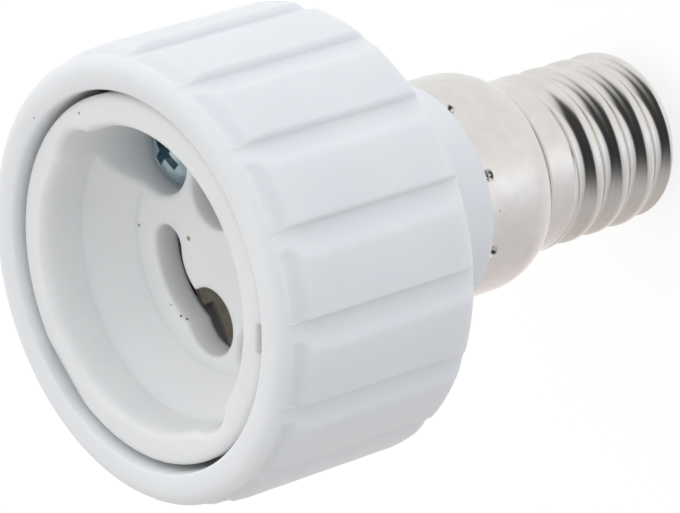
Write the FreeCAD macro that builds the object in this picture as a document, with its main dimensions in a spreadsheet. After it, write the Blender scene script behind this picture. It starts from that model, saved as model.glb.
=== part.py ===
import FreeCAD, Part
import math
import os
import Sketcher
from FreeCAD import Rotation, Vector

# Lamp socket adapter: a GU10 twist-and-lock socket on a small Edison screw cap.
# Millimetres and degrees. +Z is the axis and points out of the socket's mouth.
# The origin is the lowest point of the solder dome on the centre contact.
# +X passes through the place where one lamp pin locks.

SIZES = (
    # Screw cap
    ("cap_length", 25.0),
    ("skirt_radius", 8.6),
    ("skirt_straight", 5.5),
    ("shoulder_height", 5.0),
    ("shoulder_radius", 8.12),
    ("shell_wall", 0.35),
    ("thread_crest_radius", 6.94),
    ("thread_pitch", 2.822),
    ("thread_groove_radius", 1.05),
    ("thread_groove_centre", 7.2),
    ("thread_start", 1.7),
    ("thread_turns", 4.3),
    ("shell_bore_radius", 5.8),
    ("shell_foot", 2.5),
    ("foot_radius", 5.9),
    ("foot_round", 1.6),
    ("dimple_count", 9),
    ("dimple_radius", 0.5),
    ("dimple_lift", 0.26),
    ("dimple_inset", 0.55),
    ("dimple_angle", 22.8),
    # Insulator and centre contact
    ("insulator_flange_top", 4.2),
    ("insulator_nose", 0.95),
    ("insulator_nose_radius", 3.1),
    ("contact_radius", 2.4),
    ("contact_tube_radius", 1.3),
    ("contact_tube_top", 5.0),
    ("contact_hole_radius", 0.55),
    ("contact_rise", 0.25),
    ("solder_dome_radius", 1.0),
    # Housing
    ("neck_radius", 8.95),
    ("neck_length", 3.4),
    ("neck_round", 1.6),
    ("back_cone_height", 6.1),
    ("barrel_length", 17.7),
    ("barrel_wall", 3.15),
    ("barrel_draft", 0.25),
    ("back_edge_inset", 1.05),
    ("back_edge_height", 0.9),
    ("valley_depth", 0.3),
    ("valley_width", 0.8),
    ("ring_inset", 0.25),
    ("ring_height", 1.1),
    ("ring_inner_drop", 0.15),
    ("mouth_round", 0.3),
    ("insert_gap", 0.46),
    ("shelf_width", 2.5),
    ("shelf_rise", 0.35),
    ("cavity_cone_height", 4.6),
    ("wire_bore_radius", 6.5),
    ("spigot_length", 7.4),
    ("spigot_taper", 0.6),
    ("flute_count", 16),
    ("flute_depth", 0.7),
    ("flute_sweep", 7.6),
    ("flute_round", 3.2),
    ("flute_angle", 2.9),
    ("boss_radius", 2.6),
    ("boss_height", 3.6),
    ("pilot_depth", 3.2),
    # Socket insert
    ("insert_radius", 13.54),
    ("rim_recess", 0.75),
    ("rim_round", 0.6),
    ("rim_inner_inset", 0.3),
    ("rim_inner_fall", 0.7),
    ("rim_width", 2.34),
    ("recess_wall", 3.55),
    ("bevel_height", 3.2),
    ("bevel_width", 2.7),
    ("floor_thickness", 2.2),
    ("pin_circle_radius", 5.0),
    ("pin_slot_width", 3.0),
    ("pin_hole_radius", 2.6),
    ("pin_twist", 83.0),
    ("slot_edge_round", 0.2),
    ("well_inset", 4.67),
    ("well_radius", 3.15),
    ("well_angle", 130.3),
    ("well_below_floor", 2.75),
    ("well_edge_round", 0.5),
    ("chamber_inner_radius", 1.6),
    ("chamber_inset", 3.64),
    ("chamber_start", -24.0),
    ("chamber_end", 108.0),
    ("notch_flat_radius", 12.9),
    ("notch_width", 5.2),
    ("notch_height", 6.0),
    ("notch_angle", 224.5),
    ("small_notch_width", 2.1),
    ("small_notch_angle", -4.5),
    # Cover plate
    ("cover_thickness", 1.2),
    ("cover_gap", 0.24),
    ("slit_clearance", 0.15),
    # Screws
    ("screw_head_radius", 2.75),
    ("screw_head_rim", 0.9),
    ("screw_head_dome", 3.75),
    ("screw_head_height", 2.1),
    ("screw_radius", 1.45),
    ("screw_length", 10.1),
    ("screw_tip_length", 1.3),
    ("screw_tip_radius", 0.5),
    ("screw_hole_clearance", 0.2),
    ("cross_width", 0.75),
    ("cross_span", 2.9),
    ("cross_depth", 1.2),
    # Contacts
    ("strip_thickness", 0.4),
    ("leaf_below_floor", 2.3),
    ("leaf_inset", 0.7),
    ("leaf_start", 103.0),
    ("leaf_bend", 66.0),
    ("joggle_rise", 0.65),
    ("joggle_angle", 45.5),
    ("tongue_below_floor", 1.35),
    ("tongue_above_cover", 1.3),
    ("tongue_rise", 0.45),
    ("tongue_angle", 33.0),
    ("pin_to_bump", 2.2),
    ("bump_angle", 5.0),
    ("flare_rise", 0.8),
    ("flare_angle", -15.0),
    ("foot_angle", 84.0),
    ("foot_inner", 4.3),
    ("foot_outer", 9.4),
    ("foot_width", 3.6),
    ("tail_width", 2.4),
    ("tail_length", 3.4),
    ("bow_thickness", 0.3),
    ("bow_gap", 0.02),
    ("bow_rise", 0.356),
    ("bow_touch_angle", 12.0),
    ("bow_half_span", 25.0),
    ("rivet_circle_radius", 6.2),
    ("rivet_radius", 0.9),
    ("rivet_head_radius", 1.5),
    ("rivet_head_height", 0.5),
    # Wires and solder
    ("conductor_radius", 0.4),
    ("sleeve_radius", 0.95),
    ("sleeve_gap", 0.03),
    ("strip_back", 0.8),
    ("wire_top_inset", 1.2),
    ("live_bend_radius", 8.0),
    ("live_bend_height", 17.0),
    ("live_end_height", 0.92),
    ("live_sleeve_end", 5.6),
    ("neutral_bend_radius", 5.0),
    ("neutral_bend_height", 20.5),
    ("neutral_bend_turn", 40.0),
    ("neutral_run", 2.1),
    ("solder_radius", 0.8),
    ("solder_length", 2.2),
    # Fits
    ("press_clearance", 0.05),
)

doc = FreeCAD.newDocument("lamp_socket_adapter")
sheet = doc.addObject("Spreadsheet::Sheet", "sizes")
for row, (alias, number) in enumerate(SIZES, start=1):
    sheet.set("A%d" % row, alias)
    sheet.set("B%d" % row, str(number))
    sheet.setAlias("B%d" % row, alias)
doc.recompute()


def text_of(value):
    return value.text if isinstance(value, Size) else repr(float(value))


def plain(value):
    return value.number if isinstance(value, Size) else float(value)


class Size:
    """A number from the sheet together with the expression that gives it."""

    def __init__(self, text, number):
        self.text = text
        self.number = number

    def __add__(self, other):
        return Size("(%s + %s)" % (self.text, text_of(other)), self.number + plain(other))

    def __sub__(self, other):
        return Size("(%s - %s)" % (self.text, text_of(other)), self.number - plain(other))

    def __mul__(self, other):
        return Size("(%s * %s)" % (self.text, text_of(other)), self.number * plain(other))

    def __truediv__(self, other):
        return Size("(%s / %s)" % (self.text, text_of(other)), self.number / plain(other))

    def __neg__(self):
        return Size("(0 - %s)" % self.text, -self.number)


ZERO = Size("0", 0.0)
TOUCH = 0.001
EDGE_SAMPLES = 7
SWEEP_TOLERANCE = 0.005


def size(alias):
    return Size("sizes.%s" % alias, float(sheet.get(alias)))


def cosine(angle):
    return Size("cos(%s * 1 deg)" % text_of(angle), math.cos(math.radians(plain(angle))))


def sine(angle):
    return Size("sin(%s * 1 deg)" % text_of(angle), math.sin(math.radians(plain(angle))))


def root(value):
    return Size("sqrt(%s)" % text_of(value), math.sqrt(plain(value)))


def polar(radius, angle):
    """The point at a radius and an angle about Z."""
    return cosine(angle) * radius, sine(angle) * radius


def arc_radius(run, drop):
    """Radius of the arc that leaves a line along it and has moved by drop after a run."""
    return (run * run + drop * drop) / (drop * 2)


def turned(along, across, angle):
    """The point so far along and across a direction that leaves the axis at an angle."""
    x = cosine(angle) * along - sine(angle) * across
    y = sine(angle) * along + cosine(angle) * across
    return x, y


def bind(thing, prop, value):
    """Set a property to a value and keep it tied to the sheet."""
    thing.setExpression(prop, text_of(value))


def spin(body, angle):
    """Turn a whole body about Z."""
    body.setExpression("Placement.Rotation.Angle", "%s * 1 deg" % text_of(angle))


# Heights along Z that several pieces share
skirt_edge = size("cap_length")
back_plane = skirt_edge + size("neck_length") + size("back_cone_height")
mouth_top = back_plane + size("barrel_length")
rim_top = mouth_top - size("rim_recess")
cover_back = back_plane + size("shelf_rise")
insert_back = cover_back + size("cover_thickness")
recess_bottom = rim_top - size("recess_wall")
floor_top = recess_bottom - size("bevel_height")
floor_under = floor_top - size("floor_thickness")
screw_seat = floor_top - size("well_below_floor")
spigot_foot = skirt_edge - size("spigot_length")
shell_neck = skirt_edge - size("skirt_straight") - size("shoulder_height")

# Radii that several pieces share
insert_radius = size("insert_radius")
bore_radius = insert_radius + size("insert_gap")
barrel_radius = bore_radius + size("barrel_wall")
recess_radius = insert_radius - size("rim_width")
floor_radius = recess_radius - size("bevel_width")
well_circle = insert_radius - size("well_inset")
chamber_radius = insert_radius - size("chamber_inset")
leaf_radius = chamber_radius - size("leaf_inset")
bump_radius = size("pin_circle_radius") + size("pin_to_bump")

# Places along the wires
tail_end = cover_back - size("tail_length")
wire_top = cover_back - size("wire_top_inset")
wire_radius = size("foot_inner") - size("conductor_radius")
sleeve_top = tail_end - size("strip_back")


def new_body(name):
    body = doc.addObject("PartDesign::Body", name)
    body.Label = name
    return body


def origin_item(body, role):
    for feature in body.Origin.OriginFeatures:
        if feature.Role == role:
            return feature
    raise ValueError("no origin feature called " + role)


def new_sketch(body, name, role="XY_Plane", lift=None):
    sketch = body.newObject("Sketcher::SketchObject", name)
    sketch.AttachmentSupport = [(origin_item(body, role), "")]
    sketch.MapMode = "FlatFace"
    if lift is not None:
        bind(sketch, "AttachmentOffset.Base.z", lift)
    return sketch


def tie(sketch, kind, where, value):
    """Add one dimension to a sketch and bind it to a value."""
    number = sketch.addConstraint(Sketcher.Constraint(kind, *where, plain(value)))
    bind(sketch, "Constraints[%d]" % number, value)


def place_point(sketch, edge, end, point):
    if point[0] is ZERO:
        sketch.addConstraint(Sketcher.Constraint("PointOnObject", edge, end, -2))
    else:
        tie(sketch, "DistanceX", (-1, 1, edge, end), point[0])
    if point[1] is ZERO:
        sketch.addConstraint(Sketcher.Constraint("PointOnObject", edge, end, -1))
    else:
        tie(sketch, "DistanceY", (-1, 1, edge, end), point[1])


def arc_centre(start, finish, radius, left):
    """Centre of the arc from start to finish, to the left or right of that direction."""
    middle = (start + finish) * 0.5
    chord = finish - start
    lift = math.sqrt(max(radius * radius - chord.Length * chord.Length / 4.0, 0.0))
    normal = Vector(-chord.y, chord.x, 0).normalize()
    return middle + normal * (lift if left else -lift)


def add_edge(sketch, start, finish, step):
    """Draw a line, or an arc for a step (x, y, radius, left)."""
    if len(step) == 2:
        return sketch.addGeometry(Part.LineSegment(start, finish))
    centre = arc_centre(start, finish, plain(step[2]), step[3])
    begin = math.atan2(start.y - centre.y, start.x - centre.x)
    end = math.atan2(finish.y - centre.y, finish.x - centre.x)
    if not step[3]:
        begin, end = end, begin
    ring = Part.Circle(centre, Vector(0, 0, 1), plain(step[2]))
    edge = sketch.addGeometry(Part.ArcOfCircle(ring, begin, end))
    tie(sketch, "Radius", (edge,), step[2])
    return edge


def begins(step):
    return 1 if len(step) == 2 or step[3] else 2


def ends(step):
    return 3 - begins(step)


def outline(sketch, steps):
    """Draw a closed outline through the steps; each step is reached from the one before."""
    points = [Vector(plain(step[0]), plain(step[1]), 0) for step in steps]
    edges = [add_edge(sketch, points[index - 1], points[index], steps[index]) for index in range(len(steps))]
    for index, step in enumerate(steps):
        after = (index + 1) % len(steps)
        join = Sketcher.Constraint("Coincident", edges[index], ends(step), edges[after], begins(steps[after]))
        sketch.addConstraint(join)
        place_point(sketch, edges[index], ends(step), step)


def open_path(sketch, steps):
    """Draw an open path that starts at the first step."""
    points = [Vector(plain(step[0]), plain(step[1]), 0) for step in steps]
    last = None
    for index in range(1, len(steps)):
        step = steps[index]
        edge = add_edge(sketch, points[index - 1], points[index], step)
        if last is None:
            place_point(sketch, edge, begins(step), steps[0])
        else:
            join = Sketcher.Constraint("Coincident", last, ends(steps[index - 1]), edge, begins(step))
            sketch.addConstraint(join)
        place_point(sketch, edge, ends(step), step)
        last = edge


def circle(sketch, centre, radius):
    middle = Vector(plain(centre[0]), plain(centre[1]), 0)
    edge = sketch.addGeometry(Part.Circle(middle, Vector(0, 0, 1), plain(radius)))
    tie(sketch, "Radius", (edge,), radius)
    place_point(sketch, edge, 3, centre)


def rectangle(sketch, along_from, along_to, width, angle):
    half = width * 0.5
    outline(sketch, [
        turned(along_from, -half, angle),
        turned(along_to, -half, angle),
        turned(along_to, half, angle),
        turned(along_from, half, angle),
    ])


def revolve(body, name, steps):
    """Revolve an outline of (radius, height) steps about Z."""
    sketch = new_sketch(body, name + "_profile", "XZ_Plane")
    outline(sketch, steps)
    feature = body.newObject("PartDesign::Revolution", name)
    feature.Profile = sketch
    feature.ReferenceAxis = (sketch, ["V_Axis"])
    feature.Angle = 360
    return feature


def pad(body, name, sketch, length, downwards=False):
    feature = body.newObject("PartDesign::Pad", name)
    feature.Profile = sketch
    feature.Reversed = downwards
    bind(feature, "Length", length)
    return feature


def pocket(body, name, sketch, depth, upwards=False):
    feature = body.newObject("PartDesign::Pocket", name)
    feature.Profile = sketch
    feature.Reversed = upwards
    bind(feature, "Length", depth)
    return feature


def around(body, name, features, count):
    """Repeat features evenly about Z."""
    doc.recompute()
    pattern = body.newObject("PartDesign::PolarPattern", name)
    pattern.Originals = features
    pattern.Axis = (origin_item(body, "Z_Axis"), [""])
    pattern.Angle = 360
    body.Tip = pattern
    if isinstance(count, Size):
        bind(pattern, "Occurrences", count)
    else:
        pattern.Occurrences = count
    return pattern


def round_edges(body, name, base, test, radius):
    """Fillet every edge of a feature that passes a test."""
    doc.recompute()
    edges = ["Edge%d" % (index + 1) for index, edge in enumerate(base.Shape.Edges) if test(edge)]
    if not edges:
        raise ValueError("no edge found for " + name)
    feature = body.newObject("PartDesign::Fillet", name)
    feature.Base = (base, edges)
    bind(feature, "Radius", radius)
    return feature


def is_arc(edge, radii, height):
    """True for an arc of one of the radii that lies flat at a height."""
    box = edge.BoundBox
    if not isinstance(edge.Curve, Part.Circle) or box.ZLength > TOUCH:
        return False
    flat = abs(box.ZMin - plain(height)) < TOUCH
    return flat and any(abs(edge.Curve.Radius - plain(radius)) < TOUCH for radius in radii)


def is_upright(edge, centre, radius, height):
    """True for an edge above a height that lies on an upright cylinder."""
    if edge.BoundBox.ZMin < plain(height):
        return False
    x, y = plain(centre[0]), plain(centre[1])
    points = edge.discretize(EDGE_SAMPLES)
    return all(abs(math.hypot(point.x - x, point.y - y) - plain(radius)) < TOUCH for point in points)


def make_housing():
    """Ribbed barrel with a rounded mouth ring, conical back, neck, spigot and two screw bosses."""
    body = new_body("housing")
    neck_top = skirt_edge + size("neck_length")
    ring_foot = mouth_top - size("ring_height")
    spigot_radius = size("skirt_radius") - size("shell_wall") - size("press_clearance")
    barrel_front = barrel_radius - size("barrel_draft")
    ring_radius = barrel_front - size("ring_inset")
    inset, rise = size("back_edge_inset"), size("back_edge_height")
    half_ring = (ring_radius - bore_radius) * 0.5
    ring_height, drop = size("ring_height"), size("ring_inner_drop")
    barrel = revolve(body, "barrel", [
        (size("wire_bore_radius"), spigot_foot),
        (spigot_radius - size("spigot_taper"), spigot_foot),
        (spigot_radius, skirt_edge - size("skirt_straight")),
        (spigot_radius, skirt_edge),
        (size("neck_radius"), skirt_edge),
        (size("neck_radius"), neck_top),
        (barrel_radius - inset, back_plane),
        (barrel_radius, back_plane + rise, arc_radius(rise, inset), True),
        (barrel_front, ring_foot - size("valley_width")),
        (ring_radius - size("valley_depth"), ring_foot - size("valley_width") * 0.5),
        (ring_radius, ring_foot),
        (bore_radius + half_ring, mouth_top, arc_radius(half_ring, ring_height), True),
        (bore_radius, mouth_top - drop, arc_radius(half_ring, drop), True),
        (bore_radius, cover_back),
        (bore_radius - size("shelf_width"), cover_back),
        (size("wire_bore_radius"), cover_back - size("cavity_cone_height")),
    ])
    neck = round_edges(body, "neck_fillet", barrel,
                       lambda edge: is_arc(edge, [size("neck_radius")], neck_top),
                       size("neck_round"))
    round_edges(body, "mouth_fillet", neck,
                lambda edge: is_arc(edge, [bore_radius], mouth_top - drop),
                size("mouth_round"))

    # Bosses with pilot holes for the two screws
    wells = (polar(well_circle, size("well_angle")),
             polar(well_circle, size("well_angle") + 180))
    sketch = new_sketch(body, "boss_plan", lift=cover_back)
    for centre in wells:
        circle(sketch, centre, size("boss_radius"))
    pad(body, "screw_bosses", sketch, size("boss_height"), downwards=True)
    sketch = new_sketch(body, "pilot_plan", lift=cover_back)
    for centre in wells:
        circle(sketch, centre, size("screw_radius") + size("press_clearance"))
    pocket(body, "pilot_holes", sketch, size("pilot_depth"))

    # Flute: a steep wall on one side, then a long shallow curve back to the surface
    outside = barrel_radius + size("flute_depth")
    near = polar(barrel_radius - size("flute_depth"), size("flute_angle"))
    sketch = new_sketch(body, "flute_plan", lift=back_plane)
    outline(sketch, [
        polar(outside, size("flute_angle") + 0.5),
        polar(outside, size("flute_angle") - size("flute_sweep")),
        polar(barrel_radius + size("press_clearance"), size("flute_angle") - size("flute_sweep")),
        (near[0], near[1], size("flute_round"), False),
    ])
    flute = pocket(body, "flute", sketch, size("barrel_length") - size("ring_height"), upwards=True)
    around(body, "flutes", [flute], size("flute_count"))
    return body


def make_insert():
    """Round GU10 insert: recess, bevelled seat, keyhole pin slots, contact chambers and screw wells."""
    body = new_body("socket_insert")
    lip = size("rim_round")
    inset, fall = size("rim_inner_inset"), size("rim_inner_fall")
    revolve(body, "disc", [
        (ZERO, insert_back),
        (insert_radius, insert_back),
        (insert_radius, rim_top - lip),
        (insert_radius - lip, rim_top, lip, True),
        (recess_radius + inset, rim_top),
        (recess_radius, rim_top - fall, arc_radius(fall, inset), True),
        (recess_radius, recess_bottom),
        (floor_radius, floor_top),
        (ZERO, floor_top),
    ])

    # Keyhole: an arc slot for the pin's neck that ends in a hole for its head
    half = size("pin_slot_width") * 0.5
    inner = size("pin_circle_radius") - half
    outer = size("pin_circle_radius") + half
    inner_end = polar(inner, size("pin_twist"))
    outer_end = polar(outer, size("pin_twist"))
    sketch = new_sketch(body, "slot_plan", lift=floor_top)
    outline(sketch, [
        (inner, ZERO, inner, False),
        (size("pin_circle_radius"), -half, half, True),
        (outer, ZERO, half, True),
        (outer_end[0], outer_end[1], outer, True),
        inner_end,
    ])
    slot = pocket(body, "pin_slot", sketch, size("floor_thickness"))
    sketch = new_sketch(body, "pin_hole_plan", lift=floor_top)
    circle(sketch, polar(size("pin_circle_radius"), size("pin_twist")), size("pin_hole_radius"))
    hole = pocket(body, "pin_hole", sketch, floor_top - insert_back)

    # Chamber that holds the contact below the floor
    near = size("chamber_inner_radius")
    far = chamber_radius
    first, last = size("chamber_start"), size("chamber_end")
    far_end = polar(far, last)
    near_start = polar(near, first)
    middle = (first + last) * 0.5
    far_middle, near_middle = polar(far, middle), polar(near, middle)
    sketch = new_sketch(body, "chamber_plan", lift=insert_back)
    outline(sketch, [
        polar(far, first),
        (far_middle[0], far_middle[1], far, True),
        (far_end[0], far_end[1], far, True),
        polar(near, last),
        (near_middle[0], near_middle[1], near, False),
        (near_start[0], near_start[1], near, False),
    ])
    chamber = pocket(body, "chamber", sketch, floor_under - insert_back, upwards=True)

    # Well for the screw head, and the screw's hole below it
    centre = polar(well_circle, size("well_angle"))
    sketch = new_sketch(body, "well_plan", lift=rim_top)
    circle(sketch, centre, size("well_radius"))
    well = pocket(body, "well", sketch, rim_top - screw_seat)
    sketch = new_sketch(body, "screw_hole_plan", lift=screw_seat)
    circle(sketch, centre, size("screw_radius") + size("screw_hole_clearance"))
    screw_hole = pocket(body, "screw_hole", sketch, screw_seat - insert_back)
    pair = around(body, "second_half", [slot, hole, chamber, well, screw_hole], 2)

    # Notches in the rim's outer edge
    for name, width, angle in (("notch", size("notch_width"), size("notch_angle")),
                               ("small_notch", size("small_notch_width"), size("small_notch_angle"))):
        sketch = new_sketch(body, name + "_plan", lift=rim_top)
        rectangle(sketch, size("notch_flat_radius"), insert_radius + 1, width, angle)
        pair = pocket(body, name, sketch, size("notch_height"))
    for turn in (0, 180):
        centre = polar(well_circle, size("well_angle") + turn)
        pair = round_edges(body, "well_edges_%d" % turn, pair,
                           lambda edge: is_upright(edge, centre, size("well_radius"), floor_under),
                           size("well_edge_round"))
    slot_radii = [inner, outer, half, size("pin_hole_radius")]
    round_edges(body, "slot_edges", pair,
                lambda edge: is_arc(edge, slot_radii, floor_top),
                size("slot_edge_round"))
    return body


def make_cover():
    """Plate that closes the back of the insert, with holes for screws, rivets and contact tails."""
    body = new_body("insert_cover")
    sketch = new_sketch(body, "plate_plan", lift=cover_back)
    circle(sketch, (ZERO, ZERO), insert_radius - size("cover_gap"))
    for turn in (0, 180):
        circle(sketch, polar(well_circle, size("well_angle") + turn),
               size("screw_radius") + size("screw_hole_clearance"))
        circle(sketch, polar(size("rivet_circle_radius"), size("foot_angle") + turn),
               size("rivet_radius") + size("press_clearance"))
        clearance = size("slit_clearance")
        rectangle(sketch, size("foot_inner") - clearance,
                  size("foot_inner") + size("strip_thickness") + clearance,
                  size("tail_width") + clearance * 2, size("foot_angle") + turn)
    pad(body, "plate", sketch, size("cover_thickness"))
    return body


def make_screw(name, turn):
    """Pan-head screw with a cross recess, seated in one of the wells."""
    body = new_body(name)
    centre = polar(well_circle, size("well_angle") + turn)
    bind(body, "Placement.Base.x", centre[0])
    bind(body, "Placement.Base.y", centre[1])
    bind(body, "Placement.Base.z", screw_seat)
    length = size("screw_length")
    revolve(body, "screw_blank", [
        (ZERO, -length),
        (size("screw_tip_radius"), -length),
        (size("screw_radius"), size("screw_tip_length") - length),
        (size("screw_radius"), ZERO),
        (size("screw_head_radius"), ZERO),
        (size("screw_head_radius"), size("screw_head_rim")),
        (ZERO, size("screw_head_height"), size("screw_head_dome"), True),
    ])
    for index in (0, 1):
        sketch = new_sketch(body, "cross_plan_%d" % index, lift=size("screw_head_height"))
        half = size("cross_span") * 0.5
        rectangle(sketch, -half, half, size("cross_width"), 45 + 90 * index)
        pocket(body, "cross_%d" % index, sketch, size("cross_depth"))
    return body


def ribbon(sketch, points, thickness):
    """Draw a strip seen on edge: (radius, angle) points of its inner face, then its outer face."""
    inner = [polar(radius, angle) for radius, angle in points]
    outer = [polar(radius + thickness, angle) for radius, angle in reversed(points)]
    outline(sketch, inner + outer)


def make_contact(name, turn):
    """Folded contact strip: leaf on the chamber's outer side, spring tongue, foot and tail."""
    body = new_body(name)
    spin(body, turn)
    thickness = size("strip_thickness")
    leaf_arc = (size("leaf_start") + size("leaf_bend")) * 0.5
    near, far = leaf_radius, leaf_radius + thickness
    joggle_radius = bump_radius + size("joggle_rise")
    near_mid, near_end = polar(near, leaf_arc), polar(near, size("leaf_bend"))
    far_mid, far_start = polar(far, leaf_arc), polar(far, size("leaf_start"))
    leaf_top = floor_under - size("leaf_below_floor")
    sketch = new_sketch(body, "leaf_plan", lift=insert_back)
    outline(sketch, [
        polar(near, size("leaf_start")),
        (near_mid[0], near_mid[1], near, False),
        (near_end[0], near_end[1], near, False),
        polar(joggle_radius, size("joggle_angle")),
        polar(joggle_radius + thickness, size("joggle_angle")),
        polar(far, size("leaf_bend")),
        (far_mid[0], far_mid[1], far, True),
        (far_start[0], far_start[1], far, True),
    ])
    pad(body, "leaf", sketch, leaf_top - insert_back)

    tongue_foot = insert_back + size("tongue_above_cover")
    tongue_top = floor_under - size("tongue_below_floor")
    sketch = new_sketch(body, "tongue_plan", lift=tongue_foot)
    ribbon(sketch, [
        (joggle_radius, size("joggle_angle") + 0.5),
        (bump_radius + size("tongue_rise"), size("tongue_angle")),
        (bump_radius, size("bump_angle")),
        (bump_radius + size("flare_rise"), size("flare_angle")),
    ], thickness)
    pad(body, "tongue", sketch, tongue_top - tongue_foot)

    sketch = new_sketch(body, "foot_plan", lift=insert_back)
    rectangle(sketch, size("foot_inner"), size("foot_outer"), size("foot_width"), size("foot_angle"))
    pad(body, "foot", sketch, thickness)
    sketch = new_sketch(body, "tail_plan", lift=tail_end)
    rectangle(sketch, size("foot_inner"), size("foot_inner") + thickness,
              size("tail_width"), size("foot_angle"))
    pad(body, "tail", sketch, insert_back + thickness - tail_end)
    sketch = new_sketch(body, "rivet_hole_plan", lift=insert_back + thickness)
    circle(sketch, polar(size("rivet_circle_radius"), size("foot_angle")),
           size("rivet_radius") + size("press_clearance"))
    pocket(body, "rivet_hole", sketch, thickness)
    return body


def make_backing_spring(name, turn):
    """Bow spring between the chamber wall and the contact's tongue."""
    body = new_body(name)
    spin(body, turn)
    touch = size("bow_touch_angle")
    span = size("bow_half_span")
    tongue_foot = insert_back + size("tongue_above_cover")
    tongue_height = floor_under - size("tongue_below_floor") - tongue_foot
    wall_radius = chamber_radius - size("bow_thickness") - size("bow_gap")
    touch_radius = bump_radius + size("bow_rise")
    middle_radius = (touch_radius + wall_radius) * 0.5
    sketch = new_sketch(body, "bow_plan", lift=tongue_foot + tongue_height * 0.15)
    ribbon(sketch, [
        (wall_radius, touch + span),
        (middle_radius, touch + span * 0.5),
        (touch_radius, touch),
        (middle_radius, touch - span * 0.5),
        (wall_radius, touch - span),
    ], size("bow_thickness"))
    pad(body, "bow", sketch, tongue_height * 0.7)
    return body


def make_rivet(name, turn):
    """Rivet through the contact's foot and the cover plate, with a head on each side."""
    body = new_body(name)
    centre = polar(size("rivet_circle_radius"), size("foot_angle") + turn)
    bind(body, "Placement.Base.x", centre[0])
    bind(body, "Placement.Base.y", centre[1])
    foot_top = insert_back + size("strip_thickness")
    head = size("rivet_head_height")
    crown = size("rivet_head_radius") * 0.6
    revolve(body, "rivet_blank", [
        (ZERO, cover_back - head),
        (crown, cover_back - head),
        (size("rivet_head_radius"), cover_back - head * 0.3),
        (size("rivet_head_radius"), cover_back),
        (size("rivet_radius"), cover_back),
        (size("rivet_radius"), foot_top),
        (size("rivet_head_radius"), foot_top),
        (size("rivet_head_radius"), foot_top + head * 0.3),
        (crown, foot_top + head),
        (ZERO, foot_top + head),
    ])
    return body


def make_shell():
    """Screw shell: straight skirt, rounded shoulder, rolled thread, turned-in foot and stake dimples."""
    body = new_body("screw_shell")
    wall = size("shell_wall")
    skirt_foot = skirt_edge - size("skirt_straight")
    crest = size("thread_crest_radius")
    foot = size("shell_foot")
    foot_round = size("foot_round")
    revolve(body, "shell_blank", [
        (size("foot_radius") - foot_round * 0.375, foot),
        (size("foot_radius"), foot),
        (crest, foot + foot_round, foot_round, True),
        (crest, shell_neck),
        (size("skirt_radius"), skirt_foot, size("shoulder_radius"), True),
        (size("skirt_radius"), skirt_edge),
        (size("skirt_radius") - wall, skirt_edge),
        (size("skirt_radius") - wall, skirt_foot),
        (crest - wall, shell_neck, size("shoulder_radius") - wall, False),
        (size("shell_bore_radius"), shell_neck - wall * 2),
        (size("shell_bore_radius"), foot + wall),
        (size("foot_radius") - foot_round * 0.375, foot + wall),
    ])

    dimple = body.newObject("PartDesign::SubtractiveSphere", "dimple")
    dimple.AttachmentSupport = [(origin_item(body, "XY_Plane"), "")]
    dimple.MapMode = "FlatFace"
    bind(dimple, "Radius", size("dimple_radius"))
    spot = polar(size("skirt_radius") + size("dimple_lift"), size("dimple_angle"))
    bind(dimple, "AttachmentOffset.Base.x", spot[0])
    bind(dimple, "AttachmentOffset.Base.y", spot[1])
    bind(dimple, "AttachmentOffset.Base.z", skirt_edge - size("dimple_inset"))
    around(body, "dimples", [dimple], size("dimple_count"))

    sketch = new_sketch(body, "groove_profile", "XZ_Plane")
    circle(sketch, (size("thread_groove_centre"), size("thread_start")), size("thread_groove_radius"))
    thread = body.newObject("PartDesign::SubtractiveHelix", "thread_groove")
    thread.Profile = sketch
    thread.ReferenceAxis = (sketch, ["V_Axis"])
    thread.Mode = "pitch-turns-angle"
    bind(thread, "Pitch", size("thread_pitch"))
    bind(thread, "Turns", size("thread_turns"))
    return body


def make_insulator():
    """Glass insulator locked in the shell's foot, with a hole for the centre contact."""
    body = new_body("cap_insulator")
    gap = size("press_clearance")
    foot = size("shell_foot")
    throat = size("foot_radius") - size("foot_round") * 0.375 - gap
    hole = size("contact_tube_radius") + gap
    revolve(body, "glass", [
        (hole, size("insulator_nose")),
        (size("insulator_nose_radius"), size("insulator_nose")),
        (throat, foot),
        (throat, foot + size("shell_wall")),
        (size("shell_bore_radius") - gap, foot + size("shell_wall")),
        (size("shell_bore_radius") - gap, size("insulator_flange_top")),
        (hole, size("insulator_flange_top")),
    ])
    return body


def make_centre_contact():
    """Eyelet through the insulator: a flange below it and a tube with a flared end above it."""
    body = new_body("centre_contact")
    tube = size("contact_tube_radius")
    flare = size("contact_tube_top")
    flange_round = (size("insulator_nose") - size("contact_rise")) * 0.6
    revolve(body, "eyelet", [
        (size("contact_hole_radius"), size("contact_rise")),
        (size("contact_radius") - flange_round, size("contact_rise")),
        (size("contact_radius"), size("contact_rise") + flange_round, flange_round, True),
        (size("contact_radius"), size("insulator_nose")),
        (tube, size("insulator_nose")),
        (tube, size("insulator_flange_top")),
        (tube * 1.35, size("insulator_flange_top")),
        (tube * 1.35, size("insulator_flange_top") + size("shell_wall")),
        (tube, flare),
        (size("contact_hole_radius") * 2, flare),
        (size("contact_hole_radius"), size("insulator_flange_top")),
    ])
    return body


def live_path(top, bottom):
    """Down the neck, then an even S bend onto the axis."""
    bend = size("live_bend_radius")
    high = size("live_bend_height")
    half = wire_radius * 0.5
    drop = root(bend * bend - (bend - half) * (bend - half))
    return [
        (wire_radius, top),
        (wire_radius, high),
        (half, high - drop, bend, False),
        (ZERO, high - drop * 2, bend, True),
        (ZERO, bottom),
    ]


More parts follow.
